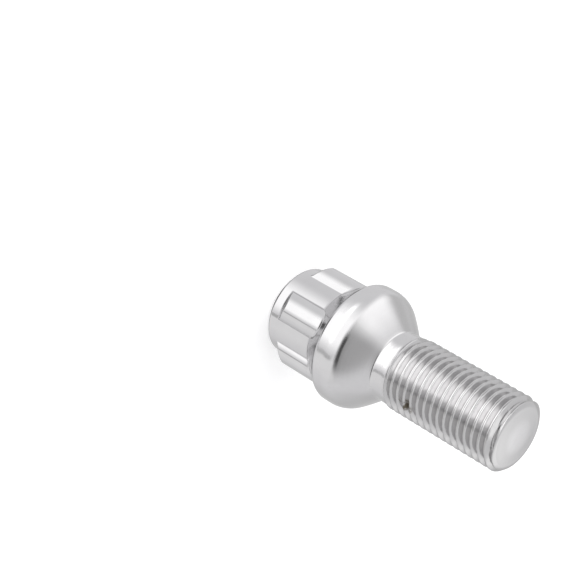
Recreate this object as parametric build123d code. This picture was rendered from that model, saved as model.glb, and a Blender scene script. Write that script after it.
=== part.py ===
from build123d import *
import math
import os

# Locking wheel bolt: a key head with raised lobes, a round collar with a conical seat, a plain neck
# and a threaded shank.
# It is forged, turned and thread-rolled from one bar, so it is one solid.
#
# Millimetres, +Z along the bolt's axis, from the head towards the tip of the thread.
# The origin is the centre of the head's end face, on which the bolt stands.

# Head: the plain band at its end, and the floors between the lobes
HEAD_DIAMETER = 17.0
HEAD_LENGTH = 10.7
HEAD_CHAMFER = 0.7

# Key lobes: round bars along the head, half sunk into it, with a slope at their free end
LOBE_COUNT = 5
FIRST_LOBE_ANGLE = -90.0
LOBE_DIAMETER = 20.6
LOBE_BAR_DIAMETER = 6.0
LOBE_START = 2.65
LOBE_END_SLOPE = 1.75

# Collar: a cone out of the head at its back, a short land, and a crown that rolls into the seat,
# which is a cone too. Both cones are given by their angle to the axis.
COLLAR_DIAMETER = 23.4
BACK_ANGLE = 36.0
ROOT_FILLET = 1.0
BACK_RADIUS = 1.2
LAND_LENGTH = 0.8
CROWN_RADIUS = 5.0
SEAT_ANGLE = 40.0

# Shank: the neck, the thread's run-out and the thread, as a cylinder at its outside diameter
NECK_DIAMETER = 13.3
NECK_FILLET = 0.4
NECK_LENGTH = 1.2
RUNOUT_LENGTH = 1.8
THREAD_DIAMETER = 14.0
THREAD_LENGTH = 24.7
TIP_FACE_DIAMETER = 9.6
TIP_ROUND_LENGTH = 1.05

head_radius = HEAD_DIAMETER / 2
lobe_radius = LOBE_DIAMETER / 2
lobe_bar_radius = LOBE_BAR_DIAMETER / 2
collar_radius = COLLAR_DIAMETER / 2
neck_radius = NECK_DIAMETER / 2
thread_radius = THREAD_DIAMETER / 2
tip_face_radius = TIP_FACE_DIAMETER / 2

# The back is a cone from the head's floor out to the collar's full width. Both of its corners are
# rounded, and a round takes the same length off the cone and off the cylinder beside it.
back_angle = math.radians(BACK_ANGLE)
back_direction = Vector(math.sin(back_angle), math.cos(back_angle))
root_corner = Vector(head_radius, HEAD_LENGTH)
back_corner = root_corner + back_direction * (collar_radius - head_radius) / math.sin(back_angle)
root_cut = ROOT_FILLET * math.tan(back_angle / 2)
back_cut = BACK_RADIUS * math.tan(back_angle / 2)

# The crown is an arc from the land to the seat, and the seat runs down from it to the neck.
seat_angle = math.radians(SEAT_ANGLE)
land_start = back_corner.Y + back_cut
land_end = land_start + LAND_LENGTH
crown_centre = Vector(collar_radius - CROWN_RADIUS, land_end)
crown_end = crown_centre + Vector(math.cos(seat_angle), math.sin(seat_angle)) * CROWN_RADIUS
seat_direction = Vector(-math.sin(seat_angle), math.cos(seat_angle))
neck_corner = crown_end + seat_direction * (crown_end.X - neck_radius) / math.sin(seat_angle)
neck_cut = NECK_FILLET * math.tan(seat_angle / 2)

# Heights along the shank
neck_start = neck_corner.Y + neck_cut
runout_start = neck_start + NECK_LENGTH
thread_start = runout_start + RUNOUT_LENGTH
tip = thread_start + THREAD_LENGTH
thread_end = tip - TIP_ROUND_LENGTH


def turned_body():
    """The bolt as it comes off the lathe: one outline turned about the axis, without lobes."""
    head = Polyline(
        (0, 0),
        (head_radius - HEAD_CHAMFER, 0),
        (head_radius, HEAD_CHAMFER),
        (head_radius, HEAD_LENGTH - root_cut),
    )
    root = TangentArc(head @ 1, root_corner + back_direction * root_cut, tangent=(0, 1))
    back = Line(root @ 1, back_corner - back_direction * back_cut)
    back_round = TangentArc(back @ 1, (collar_radius, land_start), tangent=back % 1)
    land = Line(back_round @ 1, (collar_radius, land_end))
    crown = TangentArc(land @ 1, crown_end, tangent=(0, 1))
    seat = Line(crown @ 1, neck_corner - seat_direction * neck_cut)
    neck_fillet = TangentArc(seat @ 1, (neck_radius, neck_start), tangent=seat % 1)
    shank = Polyline(
        (neck_radius, neck_start),
        (neck_radius, runout_start),
        (thread_radius, thread_start),
        (thread_radius, thread_end),
    )
    tip_round = TangentArc((tip_face_radius, tip), shank @ 1, tangent=(1, 0))
    tip_face = Polyline(tip_round @ 0, (0, tip), (0, 0))
    collar = [root, back, back_round, land, crown, seat, neck_fillet]
    outline = make_face([*head.edges(), *collar, *shank.edges(), tip_round, *tip_face.edges()])
    return revolve(Plane.XZ * outline, Axis.Z)


def lobe_bar():
    """One lobe along +X: a round bar that reaches out to the circle over the lobes."""
    section = Pos(lobe_radius - lobe_bar_radius, 0) * Circle(lobe_bar_radius)
    return Pos(0, 0, LOBE_START) * extrude(section, land_start - LOBE_START)


def lobe_envelope():
    """The cone that cuts the free ends of all lobes, from the head's floor out past their tops."""
    lobe_length = land_start - LOBE_START
    end_spread = (lobe_radius - head_radius) / LOBE_END_SLOPE
    outline = Polyline(
        (0, LOBE_START),
        (head_radius, LOBE_START),
        (head_radius + end_spread * lobe_length, land_start),
        (0, land_start),
        close=True,
    )
    return revolve(Plane.XZ * make_face(outline.edges()), Axis.Z)


def locking_bolt():
    """The turned body with its lobes. The first lobe points to -Y."""
    lobe = lobe_bar() & lobe_envelope()
    lobes = [turn * lobe for turn in PolarLocations(0, LOBE_COUNT, start_angle=FIRST_LOBE_ANGLE)]
    return turned_body().fuse(*lobes).clean()


os.makedirs("parts", exist_ok=True)
bolt = locking_bolt()
export_step(bolt, "parts/locking_bolt.step")
print("locking_bolt", round(bolt.volume, 1), "mm3, length", round(tip, 2), "mm")
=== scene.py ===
# %% [markdown]
# # A chrome locking wheel bolt
# The bolt holds a wheel to its hub. It has a head with raised lobes that only a matching key turns,
# a round collar with a conical seat that centres the wheel, a plain neck and a rolled thread.
# The solid of the same bolt is loaded first, as the frame that every size has to agree with.

# %% Load the frame
import bpy
import math
import numpy as np
from mathutils import Matrix, Vector


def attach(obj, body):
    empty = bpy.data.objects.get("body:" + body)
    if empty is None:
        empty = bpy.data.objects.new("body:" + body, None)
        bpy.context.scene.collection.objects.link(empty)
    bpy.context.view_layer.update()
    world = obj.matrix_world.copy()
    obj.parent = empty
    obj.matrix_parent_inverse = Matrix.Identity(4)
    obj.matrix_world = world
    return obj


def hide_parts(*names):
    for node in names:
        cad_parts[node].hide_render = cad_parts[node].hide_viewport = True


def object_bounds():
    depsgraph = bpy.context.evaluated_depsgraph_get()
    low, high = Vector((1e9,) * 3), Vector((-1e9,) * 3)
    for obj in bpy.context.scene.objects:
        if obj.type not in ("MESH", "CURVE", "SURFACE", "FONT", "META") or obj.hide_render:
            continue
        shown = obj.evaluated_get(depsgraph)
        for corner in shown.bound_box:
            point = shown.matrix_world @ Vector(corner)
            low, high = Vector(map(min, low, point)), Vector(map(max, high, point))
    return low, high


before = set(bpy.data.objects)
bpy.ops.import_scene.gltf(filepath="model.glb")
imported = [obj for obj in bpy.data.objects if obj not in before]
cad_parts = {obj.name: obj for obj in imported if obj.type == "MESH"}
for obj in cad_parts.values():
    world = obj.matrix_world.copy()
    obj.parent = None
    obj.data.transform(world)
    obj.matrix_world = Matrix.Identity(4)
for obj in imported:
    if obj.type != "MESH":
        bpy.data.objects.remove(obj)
cad_box = [list(corner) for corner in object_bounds()]
print("solid's box in metres:", cad_box)

# %% [markdown]
# ## Sizes
# All lengths are in millimetres, with +Z along the axis from the head to the tip of the thread.
# A turned part is easiest to describe by its radius at each height, so most values are radii.

# %% Sizes of the bolt
HEAD_RADIUS = 8.5
HEAD_LENGTH = 10.7
HEAD_CHAMFER = 0.7
LOBE_COUNT = 5
FIRST_LOBE_ANGLE = math.radians(-90)
LOBE_RADIUS = 10.3
LOBE_BAR_RADIUS = 3.0
LOBE_START = 2.65
LOBE_END_SLOPE = 1.75
COLLAR_RADIUS = 11.69  # a hair less than the solid's, so that the mesh stays inside its box
BACK_ANGLE = math.radians(36)
ROOT_FILLET = 1.0
BACK_RADIUS = 1.2
LAND_LENGTH = 1.5
CROWN_RADIUS = 4.8
CROWN_ANGLE = math.radians(38)
SEAT_RADIUS = 55.0
NECK_RADIUS = 6.65
NECK_FILLET = 0.8
NECK_LENGTH = 1.6
RUNOUT_LENGTH = 2.1
THREAD_RADIUS = 7.0
PITCH = 1.5
TIP_FACE_RADIUS = 5.4
TIP_ROUND_LENGTH = 0.8
FACE_CROWN = 0.2
MILLIMETRE = 0.001
print(LOBE_COUNT, "lobes, collar", 2 * COLLAR_RADIUS, "mm, thread", 2 * THREAD_RADIUS, "by", PITCH, "mm")

# %% [markdown]
# ## Where the pieces of the outline meet
# The outline is a chain of straight runs and arcs that run smoothly into each other. An arc between
# two lines takes its radius times the tangent of half the turn off each of them. The seat is very
# nearly a cone: an arc of a large radius. Two arcs that touch have their centres in line with the
# point where they touch, and that fixes every height along the axis.

# %% Heights and centres of the outline
back_way = np.array([math.sin(BACK_ANGLE), math.cos(BACK_ANGLE)])
root_corner = np.array([HEAD_RADIUS, HEAD_LENGTH])
back_corner = root_corner + back_way * (COLLAR_RADIUS - HEAD_RADIUS) / math.sin(BACK_ANGLE)
root_cut = ROOT_FILLET * math.tan(BACK_ANGLE / 2)
back_cut = BACK_RADIUS * math.tan(BACK_ANGLE / 2)
land_start = back_corner[1] + back_cut
land_end = land_start + LAND_LENGTH
crown_centre = np.array([COLLAR_RADIUS - CROWN_RADIUS, land_end])
crown_way = np.array([math.cos(CROWN_ANGLE), math.sin(CROWN_ANGLE)])
seat_centre = crown_centre - (SEAT_RADIUS - CROWN_RADIUS) * crown_way
fillet_reach = SEAT_RADIUS + NECK_FILLET
seat_end_angle = math.acos((NECK_RADIUS + NECK_FILLET - seat_centre[0]) / fillet_reach)
neck_start = seat_centre[1] + fillet_reach * math.sin(seat_end_angle)
runout_start = neck_start + NECK_LENGTH
thread_start = runout_start + RUNOUT_LENGTH
tip = cad_box[1][2] / MILLIMETRE
face_edge = tip - FACE_CROWN
thread_end = face_edge - TIP_ROUND_LENGTH
print("neck starts at", round(neck_start, 2), "thread at", round(thread_start, 2), "tip at", round(tip, 2))
print("seat ends at", round(math.degrees(seat_end_angle), 1), "degrees to the axis")

# %% [markdown]
# ## Camera
# The camera looks down on the standing bolt, close enough for a little perspective, and is rolled
# so that the axis runs from the upper left to the lower right of the picture.
# One point on the axis is pinned to a pixel of a square picture, and the distance follows from the
# scale.

# %% Camera
PICTURE_SIZE = 576
FOCAL_PIXELS = 1479.0
PIXELS_PER_MM = 5.677
CAMERA_AZIMUTH = math.radians(-94.0)
CAMERA_ELEVATION = math.radians(36.1)
AXIS_ROLL = math.radians(30.07)
PINNED_HEIGHT = 28.0
PINNED_PIXEL = (410.6, 374.6)
SENSOR_MM = 36.0
CLIP_START = 0.01

out = Vector((math.cos(CAMERA_AZIMUTH), math.sin(CAMERA_AZIMUTH), 0.0))
up_axis = Vector((0.0, 0.0, 1.0))
look = -(math.cos(CAMERA_ELEVATION) * out + math.sin(CAMERA_ELEVATION) * up_axis)
level_right = look.cross(up_axis).normalized()
level_up = level_right.cross(look)
right = math.cos(AXIS_ROLL) * level_up - math.sin(AXIS_ROLL) * level_right
up = -math.sin(AXIS_ROLL) * level_up - math.cos(AXIS_ROLL) * level_right
across = (PINNED_PIXEL[0] - PICTURE_SIZE / 2) / PIXELS_PER_MM
down = (PINNED_PIXEL[1] - PICTURE_SIZE / 2) / PIXELS_PER_MM
ahead = FOCAL_PIXELS / PIXELS_PER_MM
place = (up_axis * PINNED_HEIGHT - right * across + up * down - look * ahead) * MILLIMETRE

camera_data = bpy.data.cameras.new("camera")
camera_data.sensor_width = SENSOR_MM
camera_data.lens = SENSOR_MM * FOCAL_PIXELS / PICTURE_SIZE
camera_data.clip_start = CLIP_START
camera = bpy.data.objects.new("camera", camera_data)
camera.matrix_world = Matrix((right, up, -look)).transposed().to_4x4()
camera.location = place
bpy.context.scene.collection.objects.link(camera)
bpy.context.scene.camera = camera
bpy.context.scene.view_settings.view_transform = "Standard"
print("lens", round(camera_data.lens, 1), "mm, camera at", [round(value, 3) for value in place])

# %% [markdown]
# ## Columns round the axis
# The whole bolt is one surface: a radius for every height and every angle. The columns of the grid
# are the angles. A lobe is a round bar beside the axis, so its columns are even steps round the bar,
# with a few more at its foot, where bar and head meet in a crease. Every fifth of the turn repeats
# the same spacing.

# %% Columns of the grid
SECTOR = 360.0 / LOBE_COUNT
BAR_COLUMNS = 14
LAST_BAR_TURN = math.radians(66)
FOOT_STEPS = np.array([-1.2, -0.7, -0.3, 0.0, 0.3, 0.8, 1.6])
GAP_COLUMNS = 5

bar_offset = LOBE_RADIUS - LOBE_BAR_RADIUS
foot_share = (HEAD_RADIUS ** 2 + bar_offset ** 2 - LOBE_BAR_RADIUS ** 2) / (2 * HEAD_RADIUS * bar_offset)
foot_columns = math.degrees(math.acos(foot_share)) + FOOT_STEPS
bar_turn = np.linspace(0, LAST_BAR_TURN, BAR_COLUMNS)
bar_out = bar_offset + LOBE_BAR_RADIUS * np.cos(bar_turn)
bar_aside = LOBE_BAR_RADIUS * np.sin(bar_turn)
half_sector = np.concatenate([
    np.degrees(np.arctan2(bar_aside, bar_out)),
    foot_columns,
    np.linspace(foot_columns[-1], SECTOR / 2, GAP_COLUMNS)[1:],
])
sector_columns = np.concatenate([-half_sector[-2:0:-1], half_sector])
lobe_turns = np.arange(LOBE_COUNT)[:, None] * SECTOR
turned = np.radians((sector_columns + lobe_turns).ravel())
angles = turned + FIRST_LOBE_ANGLE
lobe_offset = np.abs(np.radians(np.tile(sector_columns, LOBE_COUNT)))
column_count = len(angles)
print("columns:", column_count)

# %% [markdown]
# ## The outline from the head to the neck
# A lathe would turn this outline. It is a list of points, each a radius and a height: straight runs,
# arcs about the centres found above, and small rounds at the corners of the head's end.

# %% Outline of the head, the collar and the neck
def run(start, end, count):
    """Points along a straight line from start up to, but not including, end."""
    return np.linspace(start, end, count, endpoint=False)


def arc(centre, radius, first, last, count):
    """Points round a centre: radius times cosine outwards and sine upwards, without the last one."""
    turn = np.linspace(first, last, count, endpoint=False)
    return centre + radius * np.column_stack([np.cos(turn), np.sin(turn)])


def corner(before, point, after, size, count):
    """A corner cut back by size on both sides and rounded with a parabola through the cuts."""
    before, point, after = (np.array(spot, float) for spot in (before, point, after))
    first = point + (before - point) / np.linalg.norm(before - point) * size
    last = point + (after - point) / np.linalg.norm(after - point) * size
    share = np.linspace(0, 1, count)[:, None]
    return (1 - share) ** 2 * first + 2 * share * (1 - share) * point + share ** 2 * last


CORNER_SIZE = 0.16
POLE_RADIUS = 2.0
LOBE_FINE_START = 2.3
LOBE_FINE_END = 4.8
CORNER_ROWS = 5
PLAIN_ROWS = 5
LAND_ROWS = 3
LOBE_END_ROWS = 22
LOBE_ROWS = 8
BACK_ROWS = 20
FILLET_ROWS = 8
EDGE_ROWS = 10
CROWN_ROWS = 18
SEAT_ROWS = 12

end_edge = (HEAD_RADIUS - HEAD_CHAMFER, 0.0)
band_edge = (HEAD_RADIUS, HEAD_CHAMFER)
lobe_foot = (HEAD_RADIUS, LOBE_START)
gap_end = (HEAD_RADIUS, HEAD_LENGTH - root_cut)
root_centre = (HEAD_RADIUS + ROOT_FILLET, HEAD_LENGTH - root_cut)
fillet_centre = (NECK_RADIUS + NECK_FILLET, neck_start)
head_outline = np.concatenate([
    run((POLE_RADIUS, 0.0), (end_edge[0] - CORNER_SIZE, 0.0), PLAIN_ROWS),
    corner((0.0, 0.0), end_edge, band_edge, CORNER_SIZE, CORNER_ROWS),
    corner(end_edge, band_edge, lobe_foot, CORNER_SIZE, CORNER_ROWS),
    run((HEAD_RADIUS, HEAD_CHAMFER + 2 * CORNER_SIZE), (HEAD_RADIUS, LOBE_FINE_START), PLAIN_ROWS),
    run((HEAD_RADIUS, LOBE_FINE_START), (HEAD_RADIUS, LOBE_FINE_END), LOBE_END_ROWS),
    run((HEAD_RADIUS, LOBE_FINE_END), gap_end, LOBE_ROWS),
    arc(root_centre, ROOT_FILLET, math.pi, math.pi - BACK_ANGLE, FILLET_ROWS),
    run(root_corner + back_way * root_cut, back_corner - back_way * back_cut, BACK_ROWS),
    arc((COLLAR_RADIUS - BACK_RADIUS, land_start), BACK_RADIUS, -BACK_ANGLE, 0, EDGE_ROWS),
    run((COLLAR_RADIUS, land_start), (COLLAR_RADIUS, land_end), LAND_ROWS),
    arc(crown_centre, CROWN_RADIUS, 0, CROWN_ANGLE, CROWN_ROWS),
    arc(seat_centre, SEAT_RADIUS, CROWN_ANGLE, seat_end_angle, SEAT_ROWS),
    arc(fillet_centre, NECK_FILLET, math.pi + seat_end_angle, math.pi, FILLET_ROWS),
    run((NECK_RADIUS, neck_start), (NECK_RADIUS, runout_start), PLAIN_ROWS),
])
print("outline rows:", len(head_outline))

# %% [markdown]
# ## Soft corners
# Real edges are never perfectly sharp, and chrome shows that: a rounded edge catches a thin line of
# light. Where two surfaces meet, a soft minimum or maximum joins them with a small round.

# %% Soft minimum and maximum
def soft_min(a, b, size):
    """The smaller of a and b. Where they differ by less than size, a parabola rounds the corner."""
    share = np.clip(0.5 + 0.5 * (b - a) / size, 0, 1)
    return b + (a - b) * share - size * share * (1 - share)


def soft_max(a, b, size):
    """The larger of a and b, with its corner rounded in the same way."""
    return -soft_min(-a, -b, size)


def ease(value, start, end):
    """0 before start, 1 after end, and between them three times the share squared less twice its cube."""
    share = np.clip((value - start) / (end - start), 0, 1)
    return share * share * (3 - 2 * share)


print("a round over 1 mm lifts the middle of an inner corner by", soft_max(0.0, 0.0, 1.0), "mm")

# %% [markdown]
# ## The lobes
# Five round bars stand half out of the head and run into the back of the collar. Seen from the axis,
# a circle beside it is simple: by the law of cosines its far side lies at the bar's offset times the
# cosine, plus the root of the bar's radius squared less the square of the offset times the sine. The
# lobe is whatever lies under that and under the cone that cuts its free end, and the head is the
# larger of the turned outline and the lobe.

# %% Radius of the lobes
LOBE_EDGE_SIZE = 0.16
FOOT_ROUND = 0.1
ROOT_ROUND = 0.3
ROOT_ROUND_START = HEAD_LENGTH - 1.0
ROOT_ROUND_FULL = HEAD_LENGTH + 2.0
LOBES_ABOVE = 2 * HEAD_CHAMFER


def lobe_surface(heights):
    """For each height and column, the soft minimum of the bar's far side and the cone at its end."""
    under_root = LOBE_BAR_RADIUS ** 2 - (bar_offset * np.sin(lobe_offset)) ** 2
    bar = bar_offset * np.cos(lobe_offset) + np.sqrt(np.maximum(under_root, 0))
    climb = (heights - LOBE_START) / LOBE_END_SLOPE
    end_cone = HEAD_RADIUS + (LOBE_RADIUS - HEAD_RADIUS) * climb
    return soft_min(bar, end_cone, LOBE_EDGE_SIZE)


head_heights = np.repeat(head_outline[:, 1:], column_count, axis=1)
turned_radii = head_outline[:, :1]
near_collar = ease(head_heights, ROOT_ROUND_START, ROOT_ROUND_FULL)
joint_round = FOOT_ROUND + (ROOT_ROUND - FOOT_ROUND) * near_collar
with_lobes = soft_max(turned_radii, lobe_surface(head_heights), joint_round)
head_radii = np.where(head_heights > LOBES_ABOVE, with_lobes, turned_radii)
head_radii = np.where(head_heights > land_start, turned_radii, head_radii)
print("widest over the lobes:", round(2 * float(head_radii[head_heights < HEAD_LENGTH].max()), 2), "mm")

# %% [markdown]
# ## The thread
# A thread is one profile carried along a helix. The rows of the grid follow the helix, so that the
# crest stays a clean line all the way round: a column further round the turn lifts every row a little,
# and after a full turn a row has climbed by one pitch, which is a fixed number of rows.
# To keep the first and the last row level, each column counts its rows from a start of its own.
# The profile has the flat crest, straight flanks and flat root of a metric thread. Rolling folds the
# metal up from both sides, so a fine seam is left in the middle of the crest.

# %% Profile of the thread
DEPTH_SHARE = 0.6134  # of the pitch, as on every metric thread
THREAD_DEPTH = DEPTH_SHARE * PITCH
FLANK_ANGLE = math.radians(60)
CREST_HALF = PITCH / 20
THREAD_ROUND = 0.07
CREST_PHASE = 0.48
SEAM_DEPTH = 0.06
SEAM_HALF = 0.03 * PITCH
HALF_PHASES = np.array([0.03, 0.055, 0.085, 0.12, 0.37, 0.405, 0.44])
PHASES = np.concatenate([[0.0], HALF_PHASES, 1 - HALF_PHASES[::-1]])
ROWS_PER_PITCH = len(PHASES)


def thread_radius(fraction):
    """Radius at a fraction of the pitch: a flat crest, flanks at 60 degrees and a flat root, rounded.

    A narrow seam runs along the middle of the crest, where the rolled metal closes up last.
    """
    from_crest = (0.5 - np.abs(fraction - 0.5)) * PITCH
    flank = THREAD_RADIUS - (from_crest - CREST_HALF) * math.tan(FLANK_ANGLE)
    cut = soft_max(flank, THREAD_RADIUS - THREAD_DEPTH, THREAD_ROUND)
    seam = SEAM_DEPTH * np.maximum(1 - from_crest / SEAM_HALF, 0)
    return soft_min(cut, THREAD_RADIUS, THREAD_ROUND) - seam


print("thread", round(THREAD_DEPTH, 2), "mm deep, with", ROWS_PER_PITCH, "rows to a turn")

# %% [markdown]
# ## The run-out and the end of the thread
# Thread rolling presses the metal up: over the run-out the outside grows from the neck to the full
# diameter, and the groove sinks in over the same length. At the tip a round cuts the last turn off,
# and the groove closes just before the face. No rolled helix is perfect, so two waves that run along
# it move it up and down by a hundredth of a millimetre or two, and the light on the crests wavers.
# A small margin keeps the first row clear of the neck's rows and the last one clear of the face.

# %% Rows of the thread along the helix
THREAD_MARGIN = 0.25
TIP_MARGIN = 0.28
TIP_FADE = 0.2
WANDER = 0.012
SLOW_WAVES = 2 * math.pi * 3.3
QUICK_WAVES = 2 * math.pi * 7.7
GROOVE_START = 26.7
GROOVE_FULL = 28.5

tip_round_width = THREAD_RADIUS - TIP_FACE_RADIUS
tip_round_radius = (tip_round_width ** 2 + TIP_ROUND_LENGTH ** 2) / (2 * TIP_ROUND_LENGTH)
turn_share = (angles - CAMERA_AZIMUTH) / (2 * math.pi) - CREST_PHASE
row_shift = np.floor(ROWS_PER_PITCH * turned / (2 * math.pi) + 0.5).astype(int)
first_row = math.ceil(ROWS_PER_PITCH * ((runout_start + THREAD_MARGIN) / PITCH + CREST_PHASE))
last_row = math.floor(ROWS_PER_PITCH * ((face_edge - TIP_MARGIN) / PITCH + CREST_PHASE))
profile_row = np.arange(first_row, last_row + 1)[:, None] - row_shift
whole, part = np.divmod(profile_row, ROWS_PER_PITCH)
turns_along = whole + turn_share
wander = WANDER * (np.sin(SLOW_WAVES * turns_along) + np.sin(QUICK_WAVES * turns_along))
thread_heights = PITCH * (turns_along + PHASES[part]) + wander
past_end = thread_heights - thread_end
rise = np.minimum(tip_round_radius - TIP_ROUND_LENGTH + np.maximum(past_end, 0), tip_round_radius)
tip_limit = TIP_FACE_RADIUS + np.sqrt(tip_round_radius ** 2 - rise ** 2) + np.maximum(-past_end, 0)
outside = NECK_RADIUS + (THREAD_RADIUS - NECK_RADIUS) * ease(thread_heights, runout_start, thread_start)
sunk = ease(thread_heights, GROOVE_START, GROOVE_FULL)
closed = ease(thread_heights, face_edge - TIP_MARGIN - TIP_FADE, face_edge - TIP_MARGIN)
groove_depth = (THREAD_RADIUS - thread_radius(PHASES[part])) * sunk * (1 - closed)
thread_radii = soft_min(outside, tip_limit, THREAD_ROUND) - groove_depth
print("thread rows:", len(thread_heights), "from", round(float(thread_heights.min()), 2),
      "to", round(float(thread_heights.max()), 2))

# %% [markdown]
# ## The tip
# The rest of the round is an arc, and the face inside it is very slightly crowned: from its middle
# it falls with the square of the radius.

# %% Rows of the tip
TIP_START = 0.2
TIP_ROWS = 10
FACE_ROWS = 8

tip_centre = (TIP_FACE_RADIUS, face_edge - tip_round_radius)
tip_angle = math.asin((tip_round_radius - TIP_START) / tip_round_radius)
face_radii = run(TIP_FACE_RADIUS, 0.0, FACE_ROWS)
tip_outline = np.concatenate([
    arc(tip_centre, tip_round_radius, tip_angle, math.pi / 2, TIP_ROWS),
    np.column_stack([face_radii, tip - FACE_CROWN * (face_radii / TIP_FACE_RADIUS) ** 2]),
])
tip_heights = np.repeat(tip_outline[:, 1:], column_count, axis=1)
tip_radii = np.repeat(tip_outline[:, :1], column_count, axis=1)
print("tip rows:", len(tip_outline), "round of", round(tip_round_radius, 2), "mm")

# %% [markdown]
# ## Points
# The three blocks of rows are stacked. The radius times the cosine and the sine of the angle gives x
# and y, and one point on the axis is added at either end.

# %% Points of the bolt
heights = np.concatenate([head_heights, thread_heights, tip_heights])
radii = np.concatenate([head_radii, thread_radii, tip_radii])
ring_points = np.stack([radii * np.cos(angles), radii * np.sin(angles), heights], axis=-1).reshape(-1, 3)
poles = np.array([[0.0, 0.0, 0.0], [0.0, 0.0, tip]])
points = np.concatenate([ring_points, poles]) * MILLIMETRE
print("points:", len(points))

# %% [markdown]
# ## Faces
# Neighbouring rows and columns are joined with quads, so that the mesh is closed. In the thread, where
# a column's shift grows by one, the quads climb by one row, and one triangle fills the step at each
# end of the thread. A fan of triangles closes the face at either end of the bolt.

# %% Faces of the bolt
row_count = len(heights)
number = np.arange(row_count * column_count).reshape(row_count, column_count)
beside = np.roll(number, -1, axis=1)
head_last = len(head_heights)
thread_last = head_last + len(thread_heights)


def strips(low, high):
    """Quads between each row and the next, from row low to row high, all the way round."""
    here, there = number[low:high], beside[low:high]
    return np.stack([here[:-1], there[:-1], there[1:], here[1:]], axis=-1).reshape(-1, 4)


next_shift = np.append(row_shift[1:], ROWS_PER_PITCH)
level = next_shift == row_shift
thread_here = number[head_last:thread_last]
thread_beside = beside[head_last:thread_last]
flat_here, flat_beside = thread_here[:, level], thread_beside[:, level]
step_here, step_beside = thread_here[:, ~level], thread_beside[:, ~level]
flat_quads = np.stack([flat_here[:-1], flat_beside[:-1], flat_beside[1:], flat_here[1:]], axis=-1)
step_quads = np.stack([step_here[:-2], step_beside[1:-1], step_beside[2:], step_here[1:-1]], axis=-1)
low_steps = np.stack([step_here[0], step_beside[0], step_beside[1]], axis=-1)
high_steps = np.stack([step_here[-2], step_beside[-1], step_here[-1]], axis=-1)
quads = np.concatenate([
    strips(0, head_last + 1),
    flat_quads.reshape(-1, 4),
    step_quads.reshape(-1, 4),
    strips(thread_last - 1, row_count),
])
low_pole, high_pole = row_count * column_count, row_count * column_count + 1
low_fan = np.column_stack([np.full(column_count, low_pole), beside[0], number[0]])
high_fan = np.column_stack([np.full(column_count, high_pole), number[-1], beside[-1]])
triangles = np.concatenate([low_steps, high_steps, low_fan, high_fan])
print("quads:", len(quads), "triangles when they are split:", 2 * len(quads) + len(triangles))

# %% [markdown]
# ## The bolt as an object
# The mesh is shaded smoothly. Each point also keeps how deep it lies in the thread's groove, from 0
# to 1, as an attribute that the colour reads, to paint shade and dirt into the root of the groove.

# %% Bolt object
bolt_mesh = bpy.data.meshes.new("bolt")
bolt_mesh.from_pydata(points.tolist(), [], quads.tolist() + triangles.tolist())
bolt_mesh.polygons.foreach_set("use_smooth", np.ones(len(bolt_mesh.polygons), bool))
groove = np.concatenate([
    np.zeros(head_heights.size),
    (groove_depth / THREAD_DEPTH).ravel(),
    np.zeros(tip_heights.size + len(poles)),
])
groove_layer = bolt_mesh.attributes.new("groove", "FLOAT", "POINT")
groove_layer.data.foreach_set("value", groove.astype(np.float32))
bolt_mesh.update()
bolt = bpy.data.objects.new("bolt", bolt_mesh)
bpy.context.scene.collection.objects.link(bolt)
print("mesh is valid:", not bolt_mesh.validate())

# %% [markdown]
# ## Shader sums
# A finish is worked out from numbers that vary over the surface. The class below wraps a socket, so
# that such a sum is written as a Python expression, and every operator adds one Math node.

# %% Wrapped sockets
MIX_SHARE, MIX_FIRST, MIX_SECOND, MIX_RESULT = 0, 6, 7, 2  # the places of a Mix node's colour sockets


class Wire:
    """A shader socket in an expression. Numbers and other wires may stand on either side."""

    def __init__(self, tree, socket=None):
        self.tree = tree
        self.socket = socket

    def node(self, kind, settings, inputs, output=0):
        """Adds a node of a kind, sets its settings, fills its sockets and gives back one output."""
        made = self.tree.nodes.new("ShaderNode" + kind)
        for name, value in settings.items():
            setattr(made, name, value)
        for key, value in inputs.items():
            if isinstance(value, Wire):
                self.tree.links.new(value.socket, made.inputs[key])
            else:
                made.inputs[key].default_value = value
        return Wire(self.tree, made.outputs[output] if made.outputs else None)

    def math(self, operation, first, second):
        """One Math node on two wires or numbers."""
        return self.node("Math", {"operation": operation}, {0: first, 1: second})

    def __add__(self, other):
        return self.math("ADD", self, other)

    def __radd__(self, other):
        return self.math("ADD", other, self)

    def __sub__(self, other):
        return self.math("SUBTRACT", self, other)

    def __rsub__(self, other):
        return self.math("SUBTRACT", other, self)

    def __mul__(self, other):
        return self.math("MULTIPLY", self, other)

    def __rmul__(self, other):
        return self.math("MULTIPLY", other, self)

    def between(self, start, end):
        """0 where the value is at start, 1 where it is at end, and a smooth S between them."""
        settings = {"interpolation_type": "SMOOTHSTEP"}
        return self.node("MapRange", settings, {"Value": self, "From Min": start, "From Max": end})

    def noise(self, scale, detail):
        """Cloudy noise between 0 and 1 at the place that this wire holds."""
        return self.node("TexNoise", {}, {"Vector": self, "Scale": scale, "Detail": detail})

    def mix(self, first, second):
        """The first colour where this wire is 0, the second where it is 1, and a blend between."""
        sockets = {MIX_SHARE: self, MIX_FIRST: first, MIX_SECOND: second}
        return self.node("Mix", {"data_type": "RGBA"}, sockets, MIX_RESULT)


def empty_material(name):
    """A material without nodes, and a wire in its node tree."""
    material = bpy.data.materials.new(name)
    material.use_nodes = True
    material.node_tree.nodes.clear()
    return material, Wire(material.node_tree)


# %% [markdown]
# ## Chrome
# The bolt is chrome plated all over. The head is polished before plating and reflects sharply, the
# collar and the tip keep the fine marks of the lathe and look satin, and the rolled thread is in
# between. One material does it all: the height along the axis says which finish a place has.

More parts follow.
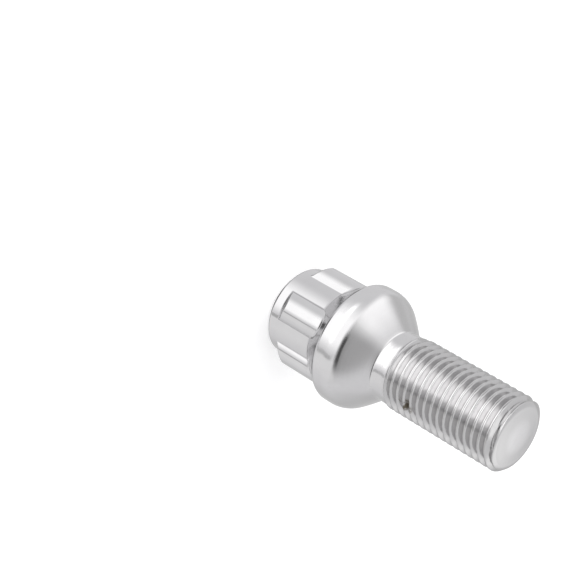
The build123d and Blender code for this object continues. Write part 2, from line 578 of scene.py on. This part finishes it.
# %% Finishes along the axis
POLISHED = 0.07
SATIN = 0.15
ROLLED = 0.14
FACED = 0.2
BACK_FINISH_START = 10.0
BACK_FINISH_END = 11.5
FINISH_STEP = 0.4
TIP_EDGE_STEP = 0.1

chrome, wire = empty_material("chrome")
place_on_bolt = wire.node("TexCoord", {}, {}, "Object")
height = wire.node("SeparateXYZ", {}, {"Vector": place_on_bolt}, "Z") * (1 / MILLIMETRE)
past_neck = height.between(neck_start - FINISH_STEP, neck_start)
on_collar = height.between(BACK_FINISH_START, BACK_FINISH_END) * (1.0 - past_neck)
on_tip = height.between(tip - TIP_EDGE_STEP, tip)
on_thread = past_neck * (1.0 - on_tip)
duller = on_collar * (SATIN - POLISHED) + on_thread * (ROLLED - POLISHED) + on_tip * (FACED - POLISHED)
finish = POLISHED + duller
print("finishes change at", BACK_FINISH_START, round(neck_start, 2), round(tip, 2), "mm")

# %% [markdown]
# ## Marks of the tools
# A lathe leaves faint rings and the rolls leave streaks along the thread. Both are noise that is
# squeezed along the axis, so that it changes quickly with the height and slowly round the turn. They
# tilt the surface a little through a bump. Squeezed noise has no seam, as a pattern wrapped round
# the bolt would have.

# %% Rings, streaks and clouds
SQUEEZE = (1.0, 1.0, 10.0)
RING_SCALE = 180.0
STREAK_SCALE = 420.0
WAVE_SCALE = 900.0
CLOUD_SCALE = 260.0
RING_DEPTH = 0.004
STREAK_DEPTH = 0.006
WAVE_DEPTH = 0.008
RING_DETAIL = 3.0
FINE_DETAIL = 2.0
CLOUD_DETAIL = 4.0

squeezed = wire.node("Mapping", {}, {"Vector": place_on_bolt, "Scale": SQUEEZE})
rings = squeezed.noise(RING_SCALE, RING_DETAIL)
streaks = squeezed.noise(STREAK_SCALE, FINE_DETAIL)
waves = place_on_bolt.noise(WAVE_SCALE, FINE_DETAIL)
clouds = place_on_bolt.noise(CLOUD_SCALE, CLOUD_DETAIL)
rolled_relief = (streaks * STREAK_DEPTH + waves * WAVE_DEPTH) * on_thread
relief = rings * on_collar * RING_DEPTH + rolled_relief
bump = wire.node("Bump", {}, {"Strength": 1.0, "Distance": MILLIMETRE, "Height": relief}, "Normal")
print("relief of the thread:", round(STREAK_DEPTH + WAVE_DEPTH, 3), "mm")

# %% [markdown]
# ## Colour, dirt and painted shade
# Chrome is a pale grey metal, with a faint cloudiness in its tone and its gloss. The rolled thread is
# a little darker. The root of the groove is painted darker in patches: painted shade, where the deep
# groove lies in shadow, together with oil and dust. One brown stain sits on a flank not far from the
# neck: a ball round a point, broken up by noise.

# %% Colour, dirt and painted shade
CHROME_LIGHT = (0.67, 0.668, 0.672, 1.0)
CHROME_DARK = (0.60, 0.59, 0.60, 1.0)
# painted shade and dirt: the colour of the groove's root
ROOT_SHADE_TONE = (0.30, 0.29, 0.29, 1.0)
ROLLED_TONE = (0.55, 0.545, 0.548, 1.0)
ROOT_SHADE_SHARE = 0.25
ROOT_DEPTHS = (0.45, 0.95)
ROOT_PATCHES = (0.3, 0.6)
STAIN_TONE = (0.15, 0.13, 0.10, 1.0)
STAIN_PLACE = Vector((4.9, -4.75, 33.2)) * MILLIMETRE
STAIN_CORE = 0.6
STAIN_REACH = 1.4
STAIN_PATCHES = (0.3, 0.5)
STAIN_ROUGHNESS = 0.3
CLOUD_ROUGHNESS = 0.06
NOISE_MIDDLE = 0.5

groove_share = wire.node("Attribute", {"attribute_name": "groove"}, {}, "Fac")
# painted shade and dirt: the deepest part of the groove is darker, in patches
root = groove_share.between(*ROOT_DEPTHS) * waves.between(*ROOT_PATCHES) * ROOT_SHADE_SHARE
ends = {0: place_on_bolt, 1: STAIN_PLACE}
from_stain = wire.node("VectorMath", {"operation": "DISTANCE"}, ends, "Value") * (1 / MILLIMETRE)
stain = (1.0 - from_stain.between(STAIN_CORE, STAIN_REACH)) * waves.between(*STAIN_PATCHES)
plate = clouds.mix(CHROME_LIGHT, CHROME_DARK)
past_runout = height.between(runout_start, thread_start) * (1.0 - on_tip)
thread_plate = past_runout.mix(plate, ROLLED_TONE)
# the painted shade and dirt of the groove's root go into the colour here
dusty_and_shaded = root.mix(thread_plate, ROOT_SHADE_TONE)
stained = stain.mix(dusty_and_shaded, STAIN_TONE)
shader = wire.node("BsdfPrincipled", {}, {
    "Base Color": stained,
    "Metallic": 1.0,
    "Roughness": finish + (clouds - NOISE_MIDDLE) * CLOUD_ROUGHNESS + stain * STAIN_ROUGHNESS,
    "Normal": bump,
})
wire.node("OutputMaterial", {}, {"Surface": shader})
bolt_mesh.materials.append(chrome)
print("chrome nodes:", len(chrome.node_tree.nodes))

# %% [markdown]
# ## Directions in the studio
# Lamps and panels are placed by direction, as seen from the bolt: degrees to the left of the camera,
# and degrees up.

# %% Directions in the studio
def facing(leftwards, lift):
    """The direction to a place in the studio: degrees to the left of the camera, and degrees up."""
    turn, rise = np.broadcast_arrays(CAMERA_AZIMUTH - np.radians(leftwards), np.radians(lift))
    return np.stack([np.cos(rise) * np.cos(turn), np.cos(rise) * np.sin(turn), np.sin(rise)], axis=-1)


print("straight at the camera:", facing(0.0, math.degrees(CAMERA_ELEVATION)).round(3))

# %% [markdown]
# ## Floor
# Chrome has no colour of its own: it shows the room. The floor is plain and pale, and the camera sees
# it nearly white, with the bolt's soft shadow on it. It is hidden from the metal's reflections: so
# close to the bolt, a floor would show it little but its own shadow, while a studio's surroundings
# are far away, so that a reflection depends on its direction alone. The panels below stand for them.

# %% Floor
FLOOR_HALF = 3.0
FLOOR_COLOUR = (0.8, 0.8, 0.8, 1.0)
WHITE = (1.0, 1.0, 1.0, 1.0)
CAMERA_GLOW = 0.34

floor_points = FLOOR_HALF * np.array([[-1, -1, 0], [1, -1, 0], [1, 1, 0], [-1, 1, 0]])
floor_mesh = bpy.data.meshes.new("floor")
floor_mesh.from_pydata(floor_points.tolist(), [], [[0, 1, 2, 3]])
floor = bpy.data.objects.new("floor", floor_mesh)
floor.visible_glossy = False
bpy.context.scene.collection.objects.link(floor)

floor_paint, wire = empty_material("floor")
camera_ray = wire.node("LightPath", {}, {}, "Is Camera Ray")
glossy_ray = wire.node("LightPath", {}, {}, "Is Glossy Ray")
clear_ray = wire.node("LightPath", {}, {}, "Is Transmission Ray")
glow_strength = (camera_ray + glossy_ray + clear_ray) * CAMERA_GLOW
matt = wire.node("BsdfDiffuse", {}, {"Color": FLOOR_COLOUR})
glow = wire.node("Emission", {}, {"Color": WHITE, "Strength": glow_strength})
both = wire.node("AddShader", {}, {0: matt, 1: glow})
wire.node("OutputMaterial", {}, {"Surface": both})
floor_mesh.materials.append(floor_paint)
print("floor is", 2 * FLOOR_HALF, "m wide")

# %% [markdown]
# ## Soft boxes
# Two large soft boxes light the floor, one low in front, under the camera, and one on the left, so
# that the shadow is soft and falls to the back. In chrome a lamp shows as a hard-edged shape, so both
# are hidden from reflections, and the metal shows the pale room and the panels that come next.

# %% Soft boxes and room
BOX_DISTANCE = 0.8
ROOM_GREY = (0.88, 0.88, 0.89, 1.0)


def soft_box(name, leftwards, lift, width, height, brightness):
    """A lamp in a direction, as wide and high as the angles that it fills, aimed at the bolt."""
    lamp = bpy.data.lights.new(name, "AREA")
    lamp.shape = "RECTANGLE"
    lamp.size = 2 * BOX_DISTANCE * math.tan(math.radians(width / 2))
    lamp.size_y = 2 * BOX_DISTANCE * math.tan(math.radians(height / 2))
    lamp.energy = brightness * math.pi * lamp.size * lamp.size_y
    towards = Vector(facing(leftwards, lift))
    box = bpy.data.objects.new(name, lamp)
    box.rotation_euler = towards.to_track_quat("Z", "Y").to_euler()
    box.location = towards * BOX_DISTANCE
    box.visible_camera = False
    box.visible_glossy = False
    bpy.context.scene.collection.objects.link(box)
    print(name, "is", round(lamp.size, 2), "by", round(lamp.size_y, 2), "m,", round(lamp.energy, 2), "W")


soft_box("left_box", leftwards=70.0, lift=29.0, width=70.0, height=30.0, brightness=1.6)
soft_box("front_box", leftwards=6.0, lift=15.0, width=69.0, height=28.0, brightness=1.5)

room = bpy.data.worlds.new("room")
room.use_nodes = True
room.node_tree.nodes["Background"].inputs["Color"].default_value = ROOM_GREY
bpy.context.scene.world = room

# %% [markdown]
# ## Glowing patches
# What chrome shows can be lamps, a picture of a room or plain surfaces that glow. Surfaces are used
# here, because each can be set by itself. Only reflections see them. Every point has a weight, 1 in
# the middle and 0 at the edges, which mixes the glow with what lies further out, so the edges are soft.

# %% Glowing patches
PANEL_STEPS = 32


def glowing_patch(name, spots, weight, brightness):
    """A grid of points joined with quads, which glows by its weight and is clear for the rest."""
    order = np.arange(PANEL_STEPS ** 2).reshape(PANEL_STEPS, PANEL_STEPS)
    low_left, low_right = order[:-1, :-1], order[:-1, 1:]
    high_left, high_right = order[1:, :-1], order[1:, 1:]
    cells = np.stack([low_left, low_right, high_right, high_left], axis=-1).reshape(-1, 4)
    mesh = bpy.data.meshes.new(name)
    mesh.from_pydata(spots.reshape(-1, 3).tolist(), [], cells.tolist())
    layer = mesh.attributes.new("weight", "FLOAT", "POINT")
    layer.data.foreach_set("value", weight.ravel().astype(np.float32))
    paint, wire = empty_material(name)
    share = wire.node("Attribute", {"attribute_name": "weight"}, {}, "Fac")
    shine = wire.node("Emission", {}, {"Color": WHITE, "Strength": brightness})
    clear = wire.node("BsdfTransparent", {}, {})
    mixed = wire.node("MixShader", {}, {0: share, 1: clear, 2: shine})
    wire.node("OutputMaterial", {}, {"Surface": mixed})
    mesh.materials.append(paint)
    panel = bpy.data.objects.new(name, mesh)
    panel.visible_camera = False
    panel.visible_diffuse = False
    panel.visible_shadow = False
    bpy.context.scene.collection.objects.link(panel)
    print(name, "has", len(cells), "faces")


# %% [markdown]
# ## Panels and cards
# A photographer hangs white panels and grey and black cards round chrome, so that it has something
# light and something dark to show. Each is a patch of a sphere about the bolt, given by the angles
# that it fills. The wide ones hang furthest out, and the cards hang nearest.

# %% Panels and cards
def fade(values, limits, edges):
    """1 between two limits, and a smooth S of a given width down to 0 at each of them."""
    low, high = limits
    return ease(values, low, low + edges[0]) * ease(-values, -high, edges[1] - high)


def hung_panel(name, distance, leftwards, lift, side_edges, lift_edges, brightness, droop=0.0):
    """A patch of a sphere between two angles to the left and two angles up, with soft edges.

    Away from the middle it comes down by droop times the square of the angle to the left.
    """
    sideways, lifted = np.meshgrid(np.linspace(*leftwards, PANEL_STEPS), np.linspace(*lift, PANEL_STEPS))
    weight = fade(sideways, leftwards, side_edges) * fade(lifted, lift, lift_edges)
    spots = distance * facing(sideways, lifted - droop * sideways ** 2)
    glowing_patch(name, spots, weight, brightness)


hung_panel("ceiling", distance=0.7, leftwards=(-100, 85), lift=(30, 63),
           side_edges=(40, 30), lift_edges=(2, 10), brightness=0.52, droop=0.0041)
hung_panel("top_panel", distance=0.7, leftwards=(-180, 180), lift=(70, 90),
           side_edges=(1, 1), lift_edges=(8, 1), brightness=1.4)
hung_panel("back_wall", distance=0.7, leftwards=(125, 265), lift=(-75, 26),
           side_edges=(30, 50), lift_edges=(15, 12), brightness=0.67)
hung_panel("back_panel", distance=0.69, leftwards=(164, 236), lift=(20, 66),
           side_edges=(26, 20), lift_edges=(16, 20), brightness=1.28)
hung_panel("left_wall", distance=0.68, leftwards=(106, 150), lift=(-14, 30),
           side_edges=(12, 20), lift_edges=(10, 10), brightness=0.7)
hung_panel("dark_back", distance=0.65, leftwards=(100, 260), lift=(-88, -44),
           side_edges=(30, 30), lift_edges=(10, 10), brightness=0.12)
hung_panel("dark_front", distance=0.65, leftwards=(-46, 46), lift=(-86, -48),
           side_edges=(28, 28), lift_edges=(6, 8), brightness=0.12)
hung_panel("right_panel", distance=0.65, leftwards=(-115, -40), lift=(-52, 34),
           side_edges=(50, 10), lift_edges=(8, 20), brightness=1.0)
hung_panel("left_panel", distance=0.6, leftwards=(5, 122), lift=(12, 64),
           side_edges=(54, 28), lift_edges=(22, 18), brightness=1.5, droop=0.0026)
hung_panel("front_panel", distance=0.55, leftwards=(-44, 70), lift=(-52, 28),
           side_edges=(32, 50), lift_edges=(8, 10), brightness=1.53)
hung_panel("front_lamp", distance=0.53, leftwards=(-24, 68), lift=(-31, -8),
           side_edges=(16, 42), lift_edges=(6, 7), brightness=2.9)
hung_panel("black_card", distance=0.5, leftwards=(-80, 14), lift=(19, 44.5),
           side_edges=(36, 20), lift_edges=(13, 6), brightness=0.07, droop=0.002)
hung_panel("dark_strip", distance=0.5, leftwards=(-50, -38), lift=(-52, 10),
           side_edges=(5, 5), lift_edges=(10, 10), brightness=0.55)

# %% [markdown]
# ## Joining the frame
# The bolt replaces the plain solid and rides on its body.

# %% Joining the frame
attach(bolt, "root")
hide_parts("locking_bolt")
